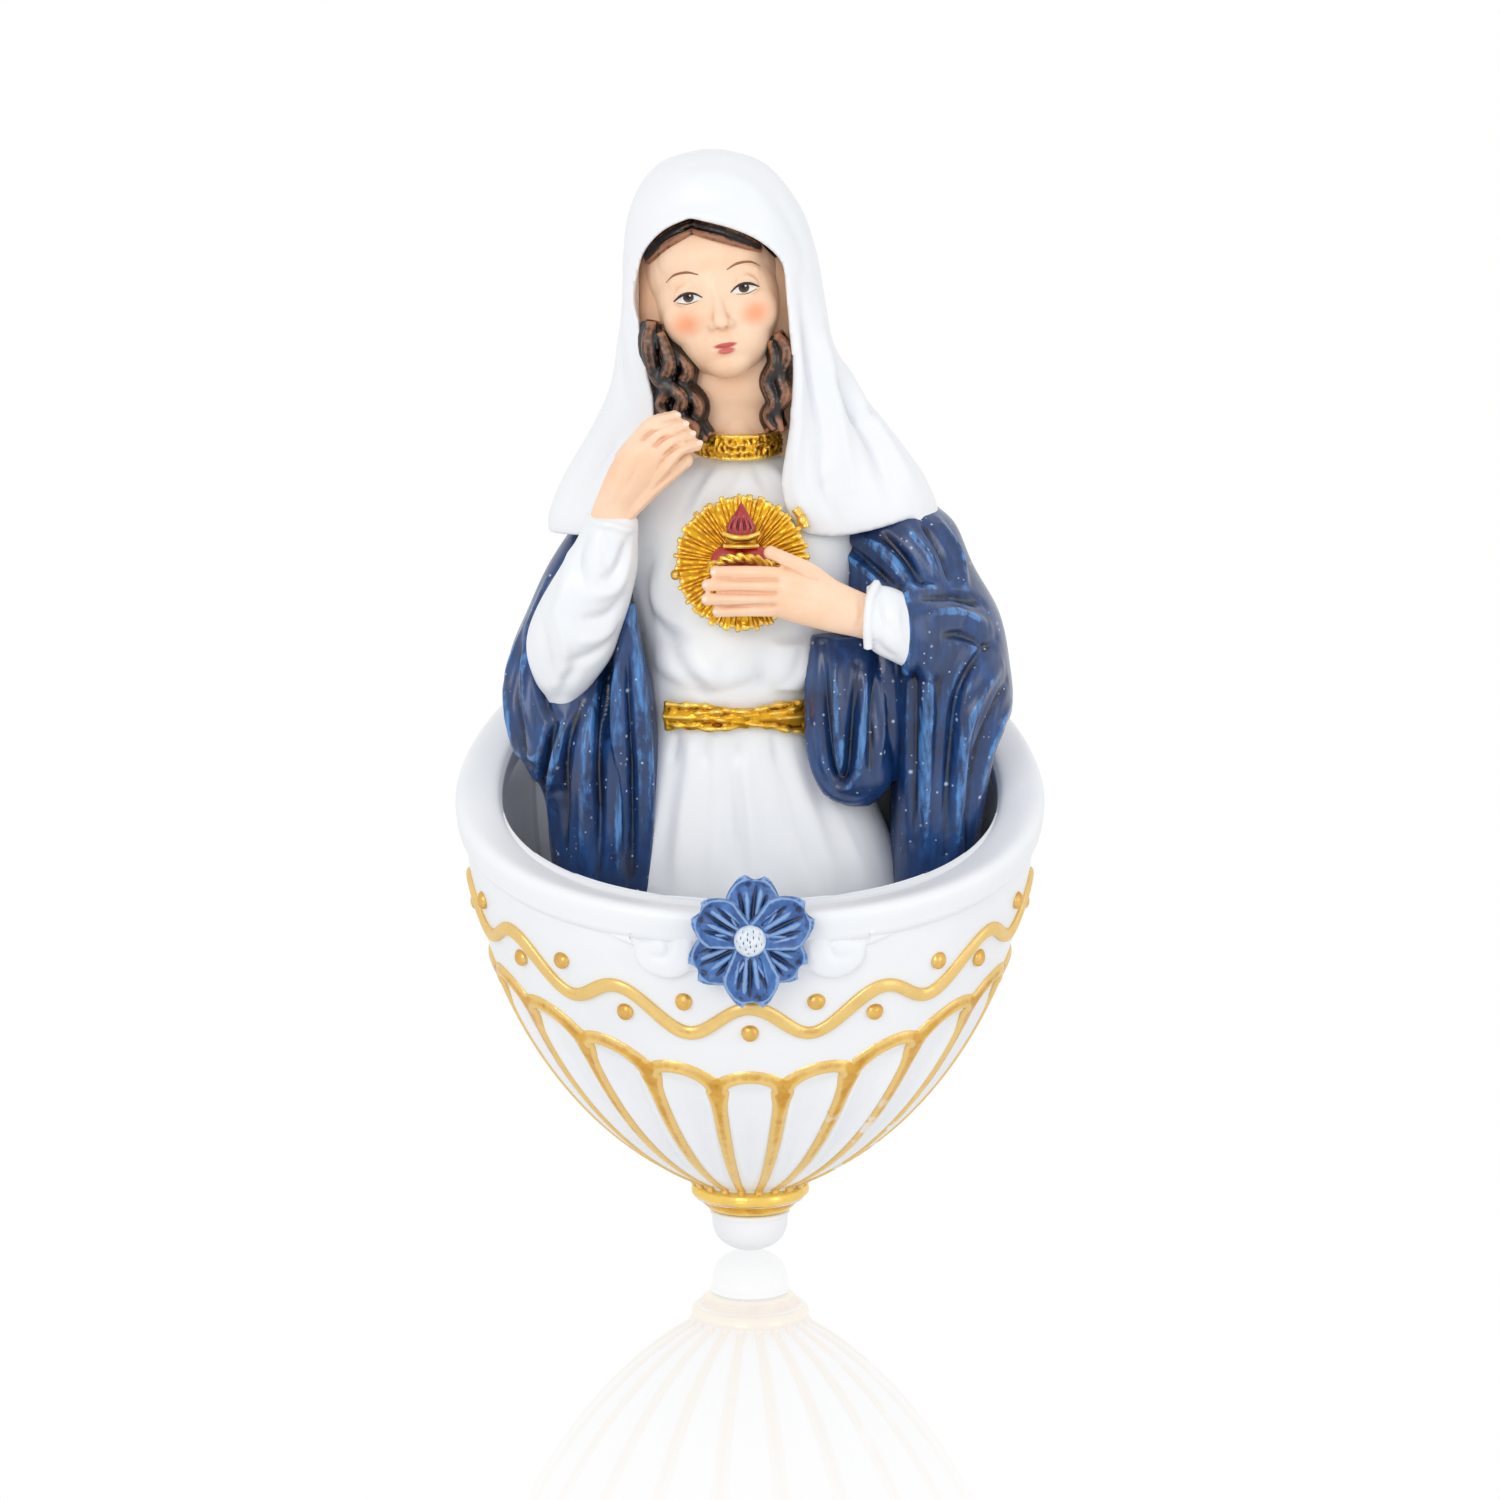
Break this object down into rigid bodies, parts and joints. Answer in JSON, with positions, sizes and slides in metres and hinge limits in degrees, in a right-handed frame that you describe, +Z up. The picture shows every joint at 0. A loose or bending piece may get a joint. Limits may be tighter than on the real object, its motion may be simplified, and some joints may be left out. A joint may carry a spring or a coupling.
{
  "type": "wall holy water font",
  "caption": "Wall-hung holy water font in painted cast resin: an egg-shaped bowl with gilt relief under a veiled half figure with a flaming heart.",
  "frame": {"origin": "on the flat back that lies against the wall, midway across, behind the figure's girdle", "axes": "+Z up, +Y out of the flat back into the wall, so the front faces -Y; +X to the viewer's right"},
  "size_m": [0.089, 0.0506, 0.1701],
  "materials": {
    "white_paint": "satin white enamel on cast resin",
    "blue_paint": "satin navy paint with pearl blue dry-brushing and white specks",
    "flesh_paint": "satin flesh paint",
    "hair_paint": "satin dark brown paint with copper dry-brushing",
    "bright_gilt": "bright gold paint, darker in the grooves",
    "relief_gilt": "soft gold paint on raised relief, uneven at its edges",
    "red_paint": "glossy deep red paint",
    "petal_paint": "blue paint with white dry-brushing on the edges",
    "flower_eye_paint": "white paint with dark pits",
    "steel": "bright drawn wire"
  },
  "bodies": {
    "root": {"hanging_wire": "steel", "back_board": "white_paint", "font_bowl": "white_paint", "rim_scroll_right": "white_paint", "rim_scroll_left": "white_paint", "flower_petal_1": "petal_paint", "flower_petal_2": "petal_paint", "flower_petal_3": "petal_paint", "flower_petal_4": "petal_paint", "flower_petal_5": "petal_paint", "flower_petal_6": "petal_paint", "flower_eye": "flower_eye_paint", "rim_moulding": "white_paint", "wave_band": "relief_gilt", "gilt_bead_1": "relief_gilt", "gilt_bead_2": "relief_gilt", "gilt_bead_3": "relief_gilt", "gilt_bead_4": "relief_gilt", "gilt_bead_5": "relief_gilt", "gilt_bead_6": "relief_gilt", "gilt_bead_7": "relief_gilt", "gilt_bead_8": "relief_gilt", "gilt_bead_9": "relief_gilt", "gilt_bead_10": "relief_gilt", "gilt_bead_11": "relief_gilt", "gilt_bead_12": "relief_gilt", "gilt_bead_13": "relief_gilt", "gilt_bead_14": "relief_gilt", "gilt_bead_15": "relief_gilt", "gilded_flutes": "relief_gilt", "foot_ring": "bright_gilt", "knob": "white_paint", "left_hand": "flesh_paint", "left_cuff": "white_paint", "garland": "bright_gilt", "flame": "red_paint", "flame_cup": "bright_gilt", "heart": "red_paint", "sunburst": "bright_gilt", "right_hand": "flesh_paint", "right_sleeve": "white_paint", "locks_right": "hair_paint", "locks_left": "hair_paint", "neck_collar": "bright_gilt", "head_and_neck": "flesh_paint", "hair_band": "hair_paint", "girdle": "bright_gilt", "cloak_swag": "blue_paint", "gown": "white_paint", "veil": "white_paint", "cloak_right": "blue_paint", "cloak_left": "blue_paint"}
  },
  "joints": []
}
